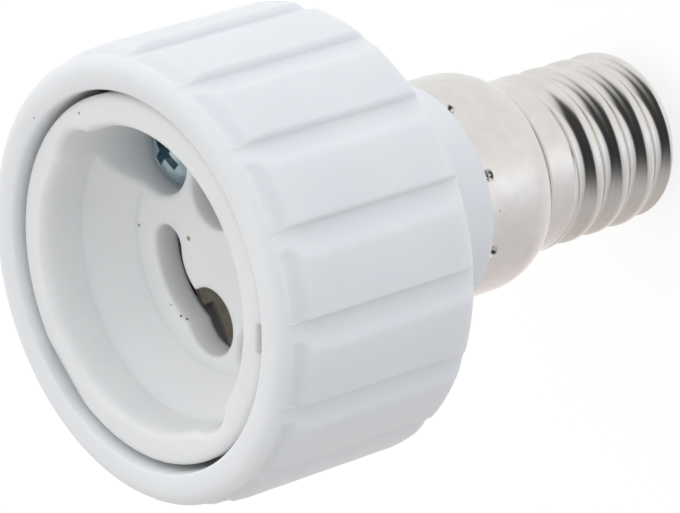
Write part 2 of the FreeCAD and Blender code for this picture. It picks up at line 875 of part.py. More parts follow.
def neutral_path(top, run):
    """Down the neck, then outwards towards the shell."""
    bend = size("neutral_bend_radius")
    high = size("neutral_bend_height")
    turn = size("neutral_bend_turn")
    across = wire_radius + bend - cosine(turn) * bend
    down = high - sine(turn) * bend
    return [
        (wire_radius, top),
        (wire_radius, high),
        (across, down, bend, True),
        (across + sine(turn) * run, down - cosine(turn) * run),
    ]


def make_wire(name, turn, path, radii):
    """Sweep round outlines of the radii along a path in the plane of the contact's tail."""
    body = new_body(name)
    spin(body, size("foot_angle") + turn)
    spine = new_sketch(body, name + "_spine", "XZ_Plane")
    open_path(spine, path)
    sketch = new_sketch(body, name + "_section", lift=path[0][1])
    for radius in radii:
        circle(sketch, (wire_radius, ZERO), radius)
    sweep = body.newObject("PartDesign::AdditivePipe", name + "_sweep")
    sweep.Profile = sketch
    sweep.Spine = (spine, [])
    sweep.Mode = "Standard"
    sweep.Transition = "Transformed"
    return body


def cut_away(name, base, tools):
    """Take the tools out of a primitive, so that it fits around them."""
    for index, tool in enumerate(tools):
        last = index == len(tools) - 1
        cut = doc.addObject("Part::Cut", name if last else "%s_step_%d" % (name, index))
        cut.Base = base
        cut.Tool = tool
        base = cut
    base.Label = name
    return base


def make_tail_solder(name, turn, contact, conductor):
    """Solder that wraps the bared conductor against the contact's tail."""
    bead = doc.addObject("Part::Ellipsoid", name + "_bead")
    angle = size("foot_angle") + turn
    centre = polar(wire_radius, angle)
    bind(bead, "Radius1", size("solder_length") * 0.5)
    bind(bead, "Radius2", size("solder_radius"))
    bind(bead, "Radius3", size("solder_radius"))
    bind(bead, "Placement.Base.x", centre[0])
    bind(bead, "Placement.Base.y", centre[1])
    bind(bead, "Placement.Base.z", tail_end + size("solder_length") * 0.6)
    return cut_away(name, bead, [contact, conductor])


def make_shell_solder(name, turn, shell, conductor):
    """Solder that joins the end of the conductor to the inside of the shell."""
    bead = doc.addObject("Part::Sphere", name + "_bead")
    ending = neutral_path(wire_top, size("neutral_run"))[-1]
    reach = ending[0] + size("conductor_radius") * 0.5
    centre = polar(reach, size("foot_angle") + turn)
    # The ball's surface ends inside the shell's wall, whose shoulder is an arc about this point
    out = reach - size("skirt_radius") + size("shoulder_radius")
    down = skirt_edge - size("skirt_straight") - ending[1]
    bind(bead, "Radius", size("shoulder_radius") - root(out * out + down * down) - size("shell_wall") * 0.3)
    bind(bead, "Placement.Base.x", centre[0])
    bind(bead, "Placement.Base.y", centre[1])
    bind(bead, "Placement.Base.z", ending[1])
    return cut_away(name, bead, [shell, conductor])


def make_tip_solder():
    """Solder that fills the centre contact around the conductor and forms the tip."""
    body = new_body("solder_tip")
    rise = size("contact_rise")
    dome = size("solder_dome_radius")
    dome_round = (dome * dome + rise * rise) / (rise * 2)
    top = rise + size("live_end_height")
    revolve(body, "dome", [
        (ZERO, ZERO),
        (dome, rise, dome_round, True),
        (size("contact_hole_radius"), rise),
        (size("contact_hole_radius"), top),
        (size("conductor_radius"), top),
        (size("conductor_radius"), size("live_end_height")),
        (ZERO, size("live_end_height")),
    ])
    return body


# The live side has the contact that the pin hole at 263 degrees opens onto
LIVE, NEUTRAL = 180, 0
housing = make_housing()
insert = make_insert()
shell = make_shell()
live_contact = make_contact("contact_live", LIVE)
neutral_contact = make_contact("contact_neutral", NEUTRAL)
live_wire = make_wire("live_conductor", LIVE, live_path(wire_top, size("live_end_height")),
                      [size("conductor_radius")])
neutral_wire = make_wire("neutral_conductor", NEUTRAL, neutral_path(wire_top, size("neutral_run")),
                         [size("conductor_radius")])
sleeve_radii = [size("sleeve_radius"), size("conductor_radius") + size("sleeve_gap")]
pieces = [
    housing,
    insert,
    make_cover(),
    live_contact,
    neutral_contact,
    make_backing_spring("backing_spring_live", LIVE),
    make_backing_spring("backing_spring_neutral", NEUTRAL),
    make_rivet("rivet_live", LIVE),
    make_rivet("rivet_neutral", NEUTRAL),
    make_screw("insert_screw_a", 0),
    make_screw("insert_screw_b", 180),
    shell,
    make_insulator(),
    make_centre_contact(),
    live_wire,
    make_wire("live_sleeve", LIVE, live_path(sleeve_top, size("live_sleeve_end")), sleeve_radii),
    neutral_wire,
    make_wire("neutral_sleeve", NEUTRAL, neutral_path(sleeve_top, size("press_clearance")), sleeve_radii),
]
doc.recompute()
pieces += [
    make_tail_solder("solder_live_tail", LIVE, live_contact, live_wire),
    make_tail_solder("solder_neutral_tail", NEUTRAL, neutral_contact, neutral_wire),
    make_tip_solder(),
    make_shell_solder("solder_shell", NEUTRAL, shell, neutral_wire),
]
doc.recompute()


def check_features(body):
    """Each feature that adds must grow the body and each that cuts must shrink it."""
    volume = 0.0
    for feature in body.Group:
        if not feature.isDerivedFrom("PartDesign::Feature"):
            continue
        kind = feature.TypeId
        cuts = "Pocket" in kind or "Subtractive" in kind
        change = feature.Shape.Volume - volume
        if (cuts and change > -TOUCH) or (not cuts and volume == 0.0 and change <= 0):
            raise RuntimeError("%s in %s changes the volume by %.4f" % (feature.Name, body.Label, change))
        volume = feature.Shape.Volume


def check_sweep(body):
    """A wire's volume must be its section times the length of its path."""
    for sweep in body.Group:
        if sweep.TypeId != "PartDesign::AdditivePipe":
            continue
        length = sum(edge.Length for edge in sweep.Spine[0].Shape.Edges)
        radii = sorted(edge.Curve.Radius for edge in sweep.Profile[0].Shape.Edges)
        bore = radii[0] if len(radii) > 1 else 0.0
        wanted = math.pi * (radii[-1] ** 2 - bore ** 2) * length
        if abs(sweep.Shape.Volume - wanted) > SWEEP_TOLERANCE * wanted:
            raise RuntimeError("%s has a volume of %.4f, not %.4f" % (body.Label, sweep.Shape.Volume, wanted))


for thing in doc.Objects:
    if "Invalid" in thing.State or "Error" in thing.State:
        raise RuntimeError("%s is not valid: %s" % (thing.Name, thing.State))
for piece in pieces:
    if piece.isDerivedFrom("PartDesign::Body"):
        check_features(piece)
        check_sweep(piece)
    if piece.Shape.isNull() or not piece.Shape.isValid() or len(piece.Shape.Solids) != 1:
        raise RuntimeError("%s is not one valid solid" % piece.Label)

os.makedirs("parts", exist_ok=True)
for piece in pieces:
    piece.Shape.exportStep("parts/%s.step" % piece.Label)
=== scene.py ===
import math

import bpy
from mathutils import Matrix, Vector


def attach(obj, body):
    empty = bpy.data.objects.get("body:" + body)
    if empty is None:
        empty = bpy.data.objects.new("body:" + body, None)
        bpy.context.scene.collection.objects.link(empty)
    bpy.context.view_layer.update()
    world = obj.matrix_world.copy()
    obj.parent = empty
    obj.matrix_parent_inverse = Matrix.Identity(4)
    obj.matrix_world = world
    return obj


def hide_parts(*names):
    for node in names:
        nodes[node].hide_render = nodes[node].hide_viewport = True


# Lengths are in millimetres and angles in degrees, except where a comment says metres
MM = 0.001
# The photograph's up, right and towards the camera, in the object's frame
PHOTO_UP = Vector((-0.2186, 0.9467, -0.2364))
PHOTO_RIGHT = Vector((0.6676, -0.0316, -0.7438))
PHOTO_BACK = Vector((0.7117, 0.3204, 0.6251))

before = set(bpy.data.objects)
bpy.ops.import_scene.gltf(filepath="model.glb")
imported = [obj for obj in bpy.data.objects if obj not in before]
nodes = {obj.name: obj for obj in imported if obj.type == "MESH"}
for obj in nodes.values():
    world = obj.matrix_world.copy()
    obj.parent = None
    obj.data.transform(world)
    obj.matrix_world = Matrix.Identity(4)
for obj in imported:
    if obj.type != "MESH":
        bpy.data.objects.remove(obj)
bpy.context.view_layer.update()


# Mesh helpers

def make_object(name, verts, faces):
    """A smooth-shaded mesh from millimetre points."""
    mesh = bpy.data.meshes.new(name)
    mesh.from_pydata([(x * MM, y * MM, z * MM) for x, y, z in verts], [], faces)
    mesh.validate()
    for polygon in mesh.polygons:
        polygon.use_smooth = True
    piece = bpy.data.objects.new(name, mesh)
    bpy.context.scene.collection.objects.link(piece)
    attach(piece, "root")
    return piece


def arc_between(start, finish, radius, left, count):
    """Points along an arc after start, its centre to the left or right of the way there."""
    a, b = Vector(start), Vector(finish)
    chord = b - a
    lift = math.sqrt(max(radius * radius - chord.length_squared / 4.0, 0.0))
    normal = Vector((-chord.y, chord.x)).normalized()
    centre = (a + b) * 0.5 + normal * (lift if left else -lift)
    first = math.atan2(a.y - centre.y, a.x - centre.x)
    turn = math.atan2(b.y - centre.y, b.x - centre.x) - first
    if left and turn < 0:
        turn += 2 * math.pi
    if not left and turn > 0:
        turn -= 2 * math.pi
    points = []
    for step in range(1, count + 1):
        angle = first + turn * step / count
        points.append((centre.x + radius * math.cos(angle), centre.y + radius * math.sin(angle)))
    return points


def run_between(start, finish, count):
    """Evenly spaced points after start on a straight run."""
    return [tuple(a + (b - a) * step / count for a, b in zip(start, finish)) for step in range(1, count + 1)]


def stepped(start, end, step):
    """Heights from start in even steps, short of end."""
    heights = []
    while start < end:
        heights.append(start)
        start += step
    return heights


def ring_faces(rings, columns, closed):
    """Quads between successive rings of points; closed joins the last ring to the first."""
    faces = []
    for ring in range(rings if closed else rings - 1):
        here, there = ring * columns, (ring + 1) % rings * columns
        for column in range(columns):
            beside = (column + 1) % columns
            faces.append((here + column, here + beside, there + beside, there + column))
    return faces


def wrapped(name, angles, rows):
    """Closed surface of revolution; a row is a (radius, height) pair or a function of the angle that gives one."""
    verts = []
    for row in rows:
        for angle in angles:
            radius, height = row(angle) if callable(row) else row
            turn = math.radians(angle)
            verts.append((radius * math.cos(turn), radius * math.sin(turn), height))
    return make_object(name, verts, ring_faces(len(rows), len(angles), True))


def smooth_step(low, high, value):
    """Eased change from 0 at low to 1 at high."""
    t = min(max((value - low) / (high - low), 0.0), 1.0)
    return t * t * (3 - 2 * t)


def soft_min(a, b, width):
    """Smaller of two values with a rounded change between them."""
    h = max(width - abs(a - b), 0.0) / width
    return min(a, b) - h * h * width * 0.25


# Housing: profiles are (radius, height) pairs

FLUTES, STEP_ANGLE, PITCH_ANGLE, FLUTE_ANGLE = 16, 2.9, 22.5, 7.5
FLUTE_DEPTH, FLUTE_BELLY, FLUTE_ROUND = 0.56, 0.8, 0.14
STEP_START, STEP_END, STEP_REACH = -0.55, 0.35, 1.0
FLUTE_COLUMNS = (0, 0.15, 0.35, 0.7, 1.3, 2.4, 4, 6, 8, 10, 12, 13.5, 14.5, 15.2, 15.9, 16.6, 17.4, 18.3,
                 19.2, 20.1, 20.9, 21.4, 21.8, 22.0, 22.12, 22.24, 22.37)
# The lands narrow evenly from their foot
LAND_RADIUS, LAND_FOOT, LAND_DRAFT = 17.15, 34.5, 0.0168
# At the flutes a bridge crosses the valley behind the mouth ring
BRIDGE_RADIUS, BRIDGE_FOOT, BRIDGE_TOP, BRIDGE_SLOPE = 16.90, 49.2, 51.3, 0.2075
BRIDGE_START, BRIDGE_FULL = 0.3, 0.8

SPIGOT = [(6.5, 17.62), (6.9, 17.62), (7.5, 18.2), (8.1, 20.2), (8.2, 20.7), (8.2, 24.9), (8.2, 25.0),
          (8.55, 25.0), (8.85, 25.0), (8.93, 25.06), (8.95, 25.15), (8.95, 26.4), (8.95, 27.5)]
NECK_ROUND, CONE_FOOT, CONE_TOP = 1.9, (9.6, 29.0), (15.9, 34.33)
CORNER_ROUND, BARREL_FOOT, BARREL_TOP = 1.18, (17.12, 35.4), (16.96, 48.45)
VALLEY = [(16.955, 48.55), (16.93, 48.62), (16.925, 48.7), (16.91, 48.95), (16.90, 49.2), (16.885, 49.45),
          (16.83, 49.7), (16.76, 49.83), (16.67, 49.97), (16.57, 50.1), (16.47, 50.25), (16.37, 50.42),
          (16.30, 50.6), (16.265, 50.78), (16.27, 50.94), (16.31, 51.08), (16.38, 51.21)]
RING_ROUND, RING_FOOT, RING_TOP = 1.28, (16.46, 51.32), (15.33, 52.19)
CROWN_ROUND, CROWN_END = 5.0, (14.2, 52.07)
LIP_ROUND, LIP_END = 0.21, (14.0, 51.87)
BORE = [(14.0, 50.0), (14.0, 44.0), (14.0, 34.95), (14.0, 34.85), (13.9, 34.85), (11.6, 34.85),
        (11.5, 34.85), (11.4, 34.76), (6.6, 30.34), (6.5, 30.2), (6.5, 24.0)]
NECK_STEPS, CONE_STEPS, CORNER_STEPS, BARREL_STEPS, RING_STEPS, CROWN_STEPS, LIP_STEPS = 7, 10, 8, 14, 12, 9, 6


def flute_depth(angle):
    """Depth of the flutes below the barrel's surface, by angle about Z."""
    u = (angle - STEP_ANGLE) % PITCH_ANGLE
    t = (u - (PITCH_ANGLE - FLUTE_ANGLE)) / FLUTE_ANGLE
    floor = FLUTE_DEPTH * t + FLUTE_BELLY * t * (1 - t) if t > 0 else 0.0
    past = u if u < PITCH_ANGLE / 2 else u - PITCH_ANGLE
    wall = 1.0 - smooth_step(STEP_START, STEP_END, past)
    if past >= 0:
        floor = FLUTE_DEPTH
    return floor * wall if abs(past) < STEP_REACH or t > 0 else 0.0


def fluted(radius, height):
    """A row of the housing's outside that the flutes cut."""
    def place(angle):
        depth = flute_depth(angle)
        if depth <= 0:
            return radius, height
        land = LAND_RADIUS - (height - LAND_FOOT) * LAND_DRAFT
        bridge = BRIDGE_RADIUS - (height - BRIDGE_FOOT) * BRIDGE_SLOPE
        reach = radius
        if bridge > radius and BRIDGE_FOOT < height < BRIDGE_TOP:
            reach = radius + (bridge - radius) * smooth_step(BRIDGE_START, BRIDGE_FULL, depth / FLUTE_DEPTH)
        return soft_min(reach, land - depth, FLUTE_ROUND), height
    return place


def make_housing():
    outside = [CONE_FOOT]
    outside += run_between(outside[-1], CONE_TOP, CONE_STEPS)
    outside += arc_between(outside[-1], BARREL_FOOT, CORNER_ROUND, True, CORNER_STEPS)
    outside += run_between(outside[-1], BARREL_TOP, BARREL_STEPS)
    outside += VALLEY
    outside += arc_between(RING_FOOT, RING_TOP, RING_ROUND, True, RING_STEPS)[:-1]
    crown = arc_between(RING_TOP, CROWN_END, CROWN_ROUND, True, CROWN_STEPS)
    lip = arc_between(crown[-1], LIP_END, LIP_ROUND, True, LIP_STEPS)

    rows = SPIGOT + arc_between(SPIGOT[-1], CONE_FOOT, NECK_ROUND, False, NECK_STEPS)[:-1]
    rows += [fluted(radius, height) for radius, height in outside]
    rows += [RING_TOP] + crown + lip + BORE
    angles = sorted((STEP_ANGLE + PITCH_ANGLE * k + u) % 360 for k in range(FLUTES) for u in FLUTE_COLUMNS)
    return wrapped("housing_moulding", angles, rows)


# Screw shell

CREST, THREAD_DEPTH, PITCH, FIRST_GROOVE = 6.94, 0.79, 2.822, 1.70
# Turns of the groove after which it fades and stops
FADE_START, FADE_END, GROOVE_END = 4.0, 4.4, 4.42
THREAD_BOTTOM, THREAD_TOP, CREST_ROUND = 2.5, 15.2, 0.10
TIP_ROUND, TIP_ROUND_TOP = 1.6, 4.1
# The plain collar above the thread is a little slimmer, with a faint line round its foot
COLLAR_DROP, COLLAR_START, COLLAR_FULL = 0.06, 14.0, 14.5
LINE_HEIGHT, LINE_WIDTH, LINE_DEPTH = 14.12, 0.13, 0.10
# The rounded shoulder meets the collar in a crease
SKIRT_RADIUS, SHOULDER_TOP, SHOULDER_ARC, COLLAR_END = 8.6, 20.4, 4.8, 16.72
SHELL_WALL = 0.35
# Stake marks round the skirt's edge: a pit in a slightly raised rim
STAKES, STAKE_ANGLE, STAKE_PITCH, STAKE_HEIGHT, STAKE_BOTTOM = 9, 22.8, 40, 24.55, 23.5
PIT_DEPTH, PIT_FLOOR, PIT_EDGE, PIT_SQUEEZE = 0.42, 0.06, 0.58, 1.05
RIM_RISE, RIM_START, RIM_END = 0.025, 0.6, 0.8
STAKE_COLUMNS = (-20, -17.5, -15, -12.5, -10, -7.6, -5.6, -4.4, -3.7, -3.2, -2.8, -2.4, -2.0, -1.6, -1.2, -0.8,
                 -0.4, 0, 0.4, 0.8, 1.2, 1.6, 2.0, 2.4, 2.8, 3.2, 3.7, 4.4, 5.6, 7.6, 10, 12.5, 15, 17.5)
SHELL_HEIGHTS = (
    [2.5, 2.52, 2.58, 2.66, 2.76]
    + stepped(2.88, 15.3, 0.118)
    + [15.5, 15.8, 16.1, 16.35, 16.5, 16.6, 16.66, 16.7, 16.74, 16.78, 16.84, 16.92, 17.02, 17.15, 17.3, 17.5,
       17.7, 17.95, 18.2, 18.5, 18.8, 19.1, 19.4, 19.7, 20.0, 20.4, 21.2, 22.2, 23.2, 23.8]
    + stepped(23.93, 24.97, 0.075)
)
SHELL_TIP = [(5.3, 2.5), (5.6, 2.49)]
SHELL_MOUTH = [(8.585, 24.985), (8.54, 25.0), (8.3, 25.0), (8.25, 24.97), (8.25, 22.0)]
SHELL_INSIDE_HEIGHTS = (20.4, 19.6, 18.9, 18.2, 17.6, 17.15)
SHELL_BORE = [(6.52, 16.6), (6.52, 14.9), (6.4, 14.3), (5.8, 13.8), (5.8, 10.0), (5.8, 6.0), (5.8, 2.9),
              (5.77, 2.85), (5.35, 2.85), (5.3, 2.82)]


def shell_profile(z):
    """Outer radius of the shell with no thread."""
    if z < TIP_ROUND_TOP:
        up = TIP_ROUND_TOP - z
        return CREST - TIP_ROUND + math.sqrt(max(TIP_ROUND * TIP_ROUND - up * up, 0.0))
    if z < COLLAR_END:
        return CREST - COLLAR_DROP * smooth_step(COLLAR_START, COLLAR_FULL, z)
    if z < SHOULDER_TOP:
        return SKIRT_RADIUS - SHOULDER_ARC + math.sqrt(SHOULDER_ARC ** 2 - (SHOULDER_TOP - z) ** 2)
    return SKIRT_RADIUS


def thread_cut(angle, z):
    """How far the rolled thread, two arcs from crest to root, lies below its crest."""
    turns = (z - FIRST_GROOVE) / PITCH - angle / 360.0
    groove = round(turns)
    along = groove + angle / 360.0
    if groove < 0 or along > GROOVE_END:
        return 0.0
    fade = 1.0 - smooth_step(FADE_START, FADE_END, along)
    off = abs(turns - groove) * PITCH
    quarter, half = PITCH / 4, THREAD_DEPTH / 2
    arc = (quarter * quarter + half * half) / (2 * half)
    if off <= quarter:
        cut = half + math.sqrt(arc * arc - off * off) - (arc - half)
    else:
        off = PITCH / 2 - off
        cut = half - (math.sqrt(arc * arc - off * off) - (arc - half))
    return cut * fade


def stake_mark(angle, z):
    """Depth of the stake marks near the skirt's edge."""
    off = (angle - STAKE_ANGLE + STAKE_PITCH / 2) % STAKE_PITCH - STAKE_PITCH / 2
    across = math.radians(off) * SKIRT_RADIUS
    distance = math.hypot(across, (z - STAKE_HEIGHT) * PIT_SQUEEZE)
    if distance > RIM_END:
        return 0.0
    pit = PIT_DEPTH * (1 - smooth_step(PIT_FLOOR, PIT_EDGE, distance))
    return pit - RIM_RISE * (1 - smooth_step(RIM_START, RIM_END, distance))


def threaded(z):
    """A row of the shell's outside."""
    def place(angle):
        radius = shell_profile(z)
        if THREAD_BOTTOM <= z < THREAD_TOP:
            radius = soft_min(radius, CREST - thread_cut(angle, z), CREST_ROUND)
            radius -= LINE_DEPTH * math.exp(-((z - LINE_HEIGHT) / LINE_WIDTH) ** 2)
        if z > STAKE_BOTTOM:
            radius -= stake_mark(angle, z)
        return radius, z
    return place


def make_shell():
    rows = SHELL_TIP + [threaded(z) for z in SHELL_HEIGHTS] + SHELL_MOUTH
    rows += [(shell_profile(z) - SHELL_WALL, z) for z in SHELL_INSIDE_HEIGHTS] + SHELL_BORE
    angles = sorted((STAKE_ANGLE + STAKE_PITCH * k + u) % 360 for k in range(STAKES) for u in STAKE_COLUMNS)
    return wrapped("screw_shell_rolled", angles, rows)


# Solder that joins the neutral wire to the collar's inside

JOINT_CENTRE, JOINT_WIDTH, JOINT_HEIGHT = (0.69, 6.22, 15.68), 0.74, 0.40
JOINT_SWELL, JOINT_LOBES, JOINT_TURN, JOINT_STEPS = 0.05, 3, 1.0, 28
# Share of a step that keeps the first and last rings off the poles
JOINT_POLE = 0.02


def make_shell_joint():
    cx, cy, cz = JOINT_CENTRE
    count = JOINT_STEPS
    verts = []
    for i in range(count + 1):
        tilt = math.pi * (i + JOINT_POLE) / (count + 2 * JOINT_POLE)
        for j in range(count):
            turn = 2 * math.pi * j / count
            out = JOINT_WIDTH * (1.0 + JOINT_SWELL * math.sin(JOINT_LOBES * turn + JOINT_TURN)) * math.sin(tilt)
            verts.append((cx + out * math.cos(turn), cy + JOINT_HEIGHT * math.cos(tilt), cz + out * math.sin(turn)))
    faces = ring_faces(count + 1, count, False)
    faces.append(tuple(range(count)))
    faces.append(tuple(range(len(verts) - 1, len(verts) - 1 - count, -1)))
    return make_object("collar_solder", verts, faces)


housing = make_housing()
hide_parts("housing")
shell = make_shell()
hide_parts("screw_shell")
shell_joint = make_shell_joint()
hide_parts("solder_shell")


# Materials: a noise is a scale per metre and a detail, and bump, edge and depth are in metres

DRIFT_LOW, DRIFT_HIGH = 0.3, 0.7
PLASTIC_DRIFT, PLASTIC_GLOSS, PLASTIC_GRAIN = (160.0, 3.0), (900.0, 2.0), (5200.0, 2.0)
PLASTIC_SPECULAR, GLOSS_RANGE = 0.45, 0.05
SINK_WEIGHT, SINK_RADIUS = 0.7, (1.0, 0.95, 0.85)
METAL_CLOUD, METAL_GLOSS, METAL_SCRATCH = (700.0, 4.0), (1500.0, 5.0), (2600.0, 4.0)
METAL_GLOSS_LOW, METAL_GLOSS_HIGH = 0.7, 1.3
# Faces whose normal points along Z more than this take the sheared edges' painted highlight
PAINTED_HIGHLIGHT_UPRIGHT = 0.7
SPECK_CORE, SPECK_COVER = 0.4, 0.9
EDGE_SAMPLES = 6


def new_material(name):
    material = bpy.data.materials.new(name)
    material.use_nodes = True
    tree = material.node_tree
    return material, tree, tree.nodes["Principled BSDF"]


def math_node(tree, operation, first, second=None):
    """A math node whose inputs are sockets or numbers."""
    node = tree.nodes.new("ShaderNodeMath")
    node.operation = operation
    for socket, value in zip(node.inputs, (first, second)):
        if isinstance(value, (int, float)):
            socket.default_value = value
        elif value is not None:
            tree.links.new(value, socket)
    return node.outputs["Value"]


def with_fixed(tree, operation, vector, fixed):
    """A vector math node that gives a number from a socket and a fixed vector."""
    node = tree.nodes.new("ShaderNodeVectorMath")
    node.operation = operation
    node.inputs[1].default_value = fixed
    tree.links.new(vector, node.inputs[0])
    return node.outputs["Value"]


def object_point(tree):
    return tree.nodes.new("ShaderNodeTexCoord").outputs["Object"]


def noise(tree, scale, detail):
    texture = tree.nodes.new("ShaderNodeTexNoise")
    texture.inputs["Scale"].default_value = scale
    texture.inputs["Detail"].default_value = detail
    tree.links.new(object_point(tree), texture.inputs["Vector"])
    return texture.outputs["Fac"]


def drift(tree, source, colours):
    """Slow change between two colours."""
    node = tree.nodes.new("ShaderNodeValToRGB")
    for element, place, colour in zip(node.color_ramp.elements, (DRIFT_LOW, DRIFT_HIGH), colours):
        element.position = place
        element.color = (*colour, 1.0)
    tree.links.new(source, node.inputs["Fac"])
    return node.outputs["Color"]


def spread(tree, source, low, high):
    node = tree.nodes.new("ShaderNodeMapRange")
    node.inputs["To Min"].default_value = low
    node.inputs["To Max"].default_value = high
    tree.links.new(source, node.inputs["Value"])
    return node.outputs["Result"]


def uneven(tree, source, distance, edge):
    """Normal with a fine bump, over softened edges where edge isn't 0."""
    node = tree.nodes.new("ShaderNodeBump")
    node.inputs["Distance"].default_value = distance
    node.inputs["Strength"].default_value = 1.0
    tree.links.new(source, node.inputs["Height"])
    if edge:
        soft = tree.nodes.new("ShaderNodeBevel")
        soft.samples = EDGE_SAMPLES
        soft.inputs["Radius"].default_value = edge
        tree.links.new(soft.outputs["Normal"], node.inputs["Normal"])
    return node.outputs["Normal"]


def blend(tree, factor, first, second):
    """Mix two colours, each a socket or a fixed colour."""
    node = tree.nodes.new("ShaderNodeMix")
    node.data_type = "RGBA"
    tree.links.new(factor, node.inputs["Factor"])
    for socket, value in ((node.inputs["A"], first), (node.inputs["B"], second)):
        if isinstance(value, tuple):
            socket.default_value = (*value, 1.0)
        else:
            tree.links.new(value, socket)
    return node.outputs["Result"]


def with_specks(tree, colour, specks):
    """Lay small dirt specks on a colour; a speck is a point, a radius and a colour."""
    for point, radius, dirt in specks:
        near = tree.nodes.new("ShaderNodeMapRange")
        near.interpolation_type = "SMOOTHSTEP"
        near.inputs["From Min"].default_value = radius * SPECK_CORE * MM
        near.inputs["From Max"].default_value = radius * MM
        near.inputs["To Min"].default_value = SPECK_COVER
        near.inputs["To Max"].default_value = 0.0
        tree.links.new(with_fixed(tree, "DISTANCE", object_point(tree), Vector(point) * MM), near.inputs["Value"])
        colour = blend(tree, near.outputs["Result"], colour, dirt)
    return colour


def moulded(name, colours, rough, grain, edge=0.0, depth=0.0, specks=()):
    """Moulded plastic: slow colour drift, fine grain, softened edges, light that sinks in, and specks."""
    material, tree, shader = new_material(name)
    colour = drift(tree, noise(tree, *PLASTIC_DRIFT), colours)
    gloss = spread(tree, noise(tree, *PLASTIC_GLOSS), rough - GLOSS_RANGE, rough + GLOSS_RANGE)
    tree.links.new(with_specks(tree, colour, specks), shader.inputs["Base Color"])
    tree.links.new(gloss, shader.inputs["Roughness"])
    tree.links.new(uneven(tree, noise(tree, *PLASTIC_GRAIN), grain, edge), shader.inputs["Normal"])
    shader.inputs["Specular IOR Level"].default_value = PLASTIC_SPECULAR
    if depth:
        shader.inputs["Subsurface Weight"].default_value = SINK_WEIGHT
        shader.inputs["Subsurface Radius"].default_value = SINK_RADIUS
        shader.inputs["Subsurface Scale"].default_value = depth
    return material


def metal(name, colours, rough, scratch, edge=0.0, cut=None, specks=()):
    """Metal with faint cloudiness and fine scratches; cut is the colour of the strip's sheared edges, the faces
    that point along Z, a near-white painted highlight laid over their own colour.
    """
    material, tree, shader = new_material(name)
    shader.inputs["Metallic"].default_value = 1.0
    colour = drift(tree, noise(tree, *METAL_CLOUD), colours)
    if cut:
        # Painted highlight: faces that point along Z, the strip's sheared edges, take the near-white cut colour
        normal = tree.nodes.new("ShaderNodeNewGeometry").outputs["Normal"]
        upright = math_node(tree, "ABSOLUTE", with_fixed(tree, "DOT_PRODUCT", normal, Vector((0, 0, 1))))
        colour = blend(tree, math_node(tree, "GREATER_THAN", upright, PAINTED_HIGHLIGHT_UPRIGHT), colour, cut)
    gloss = spread(tree, noise(tree, *METAL_GLOSS), rough * METAL_GLOSS_LOW, rough * METAL_GLOSS_HIGH)
    tree.links.new(with_specks(tree, colour, specks), shader.inputs["Base Color"])
    tree.links.new(gloss, shader.inputs["Roughness"])
    tree.links.new(uneven(tree, noise(tree, *METAL_SCRATCH), scratch, edge), shader.inputs["Normal"])
    return material


DIRT, BROWN, TAN = (0.05, 0.05, 0.045), (0.16, 0.07, 0.03), (0.55, 0.42, 0.28)
HOUSING_SPECKS = (
    ((-10.24, 10.23, 52.1), 0.10, DIRT),
    ((7.26, 15.31, 45.88), 0.09, DIRT),
    ((11.83, 12.14, 40.21), 0.11, DIRT),
)
INSERT_SPECKS = (
    ((-2.50, 1.03, 44.7), 0.30, TAN),
    ((-2.50, 1.03, 44.7), 0.15, BROWN),
    ((-8.25, 0.77, 44.75), 0.17, DIRT),
    ((-5.77, 11.32, 51.45), 0.13, DIRT),
    ((-6.18, 9.39, 51.4), 0.11, DIRT),
    ((-3.89, -5.29, 44.65), 0.14, DIRT),
    ((-3.49, -5.48, 44.42), 0.15, DIRT),
    ((-4.93, -4.67, 44.7), 0.10, BROWN),
    ((3.08, -0.08, 44.7), 0.07, DIRT),
)
SHELL_SPECKS = (((8.58, 0.60, 24.02), 0.08, DIRT),)

# Each is a name, two colours, roughness and the height of its grain or scratches
white_housing = moulded("white_housing", ((0.83, 0.85, 0.87), (0.86, 0.875, 0.89)), 0.36, 0.000002,
                        depth=0.0012, specks=HOUSING_SPECKS)
white_insert = moulded("white_insert", ((0.855, 0.86, 0.86), (0.89, 0.893, 0.89)), 0.5, 0.000003,
                       edge=0.0005, depth=0.0012, specks=INSERT_SPECKS)
cover_board = moulded("cover_board", ((0.62, 0.60, 0.54), (0.68, 0.66, 0.60)), 0.6, 0.000004, edge=0.0001)
black_glass = moulded("black_glass", ((0.012, 0.012, 0.014), (0.022, 0.022, 0.024)), 0.08, 0.000001,
                      edge=0.0001)
brown_sleeve = moulded("brown_sleeve", ((0.17, 0.07, 0.035), (0.21, 0.09, 0.05)), 0.5, 0.000003)
blue_sleeve = moulded("blue_sleeve", ((0.05, 0.12, 0.32), (0.07, 0.15, 0.38)), 0.5, 0.000003)
nickel = metal("bright_nickel", ((0.745, 0.72, 0.69), (0.80, 0.78, 0.755)), 0.11, 0.0000008,
               specks=SHELL_SPECKS)
# The bronze's sheared edges get a near-white cut colour, a painted highlight where light falls on them
bronze = metal("plated_bronze", ((0.74, 0.70, 0.63), (0.93, 0.89, 0.82)), 0.42, 0.000004,
               edge=0.00006, cut=(1.0, 0.98, 0.94))
spring = metal("spring_steel", ((0.45, 0.46, 0.48), (0.55, 0.56, 0.58)), 0.25, 0.000002, edge=0.00005)
brass = metal("rivet_brass", ((0.62, 0.50, 0.28), (0.72, 0.60, 0.36)), 0.25, 0.000002, edge=0.00008)
zinc = metal("blue_zinc", ((0.28, 0.42, 0.50), (0.60, 0.72, 0.78)), 0.3, 0.000004, edge=0.00012)
tinned = metal("tinned_contact", ((0.60, 0.59, 0.56), (0.70, 0.69, 0.66)), 0.28, 0.000002, edge=0.0001)
copper = metal("tinned_copper", ((0.75, 0.48, 0.32), (0.80, 0.56, 0.40)), 0.28, 0.000001)
solder = metal("solder", ((0.62, 0.62, 0.62), (0.74, 0.74, 0.73)), 0.24, 0.000004)


def dress(thing, material):
    thing.data.materials.clear()
    thing.data.materials.append(material)


